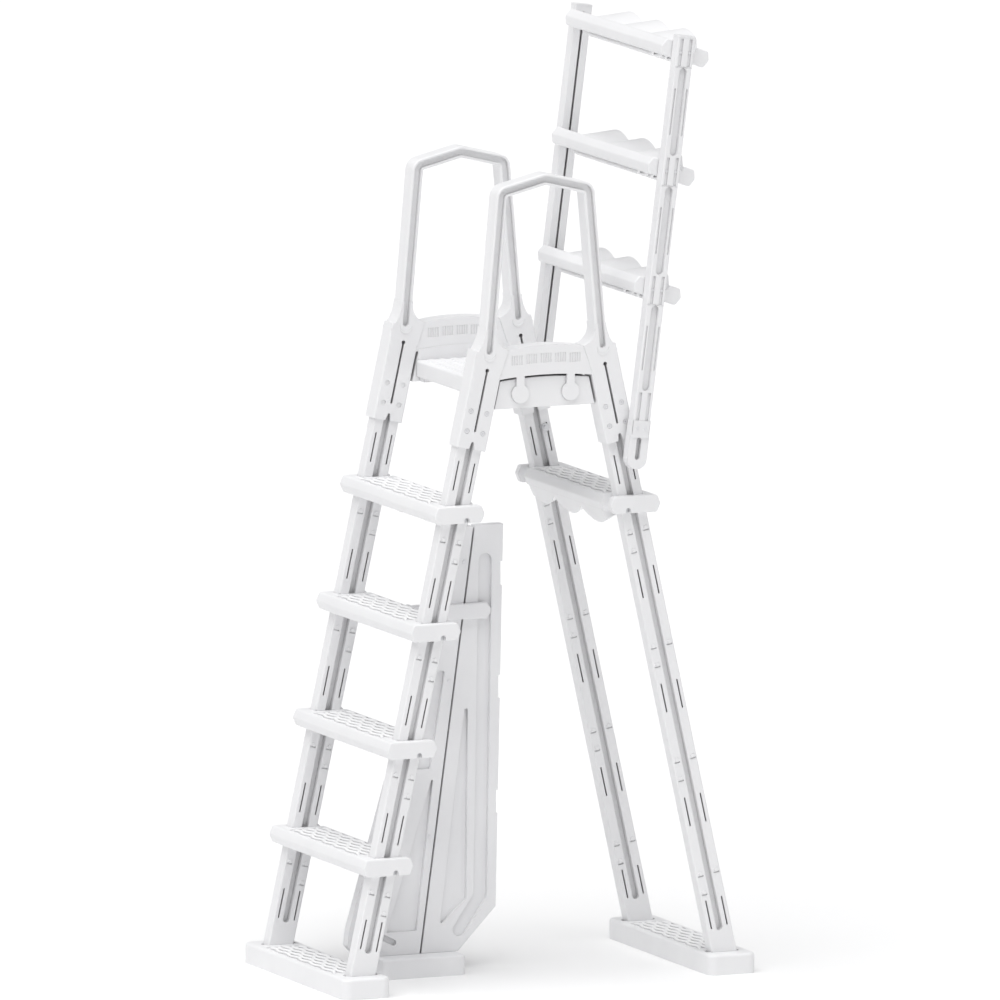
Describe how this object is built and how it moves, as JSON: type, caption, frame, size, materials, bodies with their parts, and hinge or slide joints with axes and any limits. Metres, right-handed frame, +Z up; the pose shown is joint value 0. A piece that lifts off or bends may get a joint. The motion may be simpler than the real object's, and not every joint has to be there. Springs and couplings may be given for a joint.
{
  "type": "pool ladder",
  "caption": "White plastic A-frame pool ladder with treads on one side, a platform, handrail loops, a swim-through barrier and a flip-up outer ladder section.",
  "frame": {"origin": "on the ground, under the centre of the platform", "axes": "+Z up, +X from the pool side to the outer side with the flip-up section, +Y across the treads"},
  "size_m": [0.974, 0.6064, 2.0697],
  "materials": {
    "white_plastic": "satin moulded",
    "barrier_plastic": "satin blow-moulded",
    "fastener_plastic": "satin moulded",
    "pin_steel": "brushed stainless"
  },
  "bodies": {
    "frame": {"base_outer": "white_plastic", "base_pool": "white_plastic", "leg_outer_near": "white_plastic", "leg_outer_far": "white_plastic", "leg_pool_near": "white_plastic", "leg_pool_far": "white_plastic", "tread_outer_4": "white_plastic", "tread_pool_1": "white_plastic", "tread_pool_2": "white_plastic", "tread_pool_3": "white_plastic", "tread_pool_4": "white_plastic", "tread_pins_pool": "pin_steel", "tread_pins_outer": "pin_steel", "base_pins": "pin_steel", "handrail_near": "white_plastic", "handrail_far": "white_plastic", "socket_screws": "fastener_plastic", "platform_deck": "white_plastic", "platform_skirt_near": "white_plastic", "platform_skirt_far": "white_plastic", "platform_bolts": "fastener_plastic", "barrier_front_panel": "barrier_plastic", "barrier_rear_panel": "barrier_plastic", "barrier_foot": "barrier_plastic", "barrier_bracket": "barrier_plastic", "barrier_screws": "fastener_plastic", "pivot_bush_near": "fastener_plastic", "pivot_bush_far": "fastener_plastic"},
    "pivot_pins": {"pivot_pin_near": "pin_steel", "pivot_pin_far": "pin_steel"},
    "flip_section": {"flip_rail_near": "white_plastic", "flip_rail_far": "white_plastic", "flip_hook_near": "white_plastic", "flip_hook_far": "white_plastic", "flip_tread_1": "white_plastic", "flip_tread_2": "white_plastic", "flip_tread_3": "white_plastic", "flip_tread_screws": "fastener_plastic", "flip_hook_screws": "fastener_plastic", "flip_end_caps": "white_plastic"}
  },
  "joints": [
    {"name": "flip_hinge", "type": "hinge", "parent": "frame", "child": "pivot_pins", "pos_m": [0.1981, 0, 1.1495], "axis": [0, 1, 0], "range_deg": [0, 160.4]},
    {"name": "flip_slide", "type": "slide", "parent": "pivot_pins", "child": "flip_section", "axis": [0.1258, 0, 0.9921], "range_m": [-0.035, 0]}
  ]
}
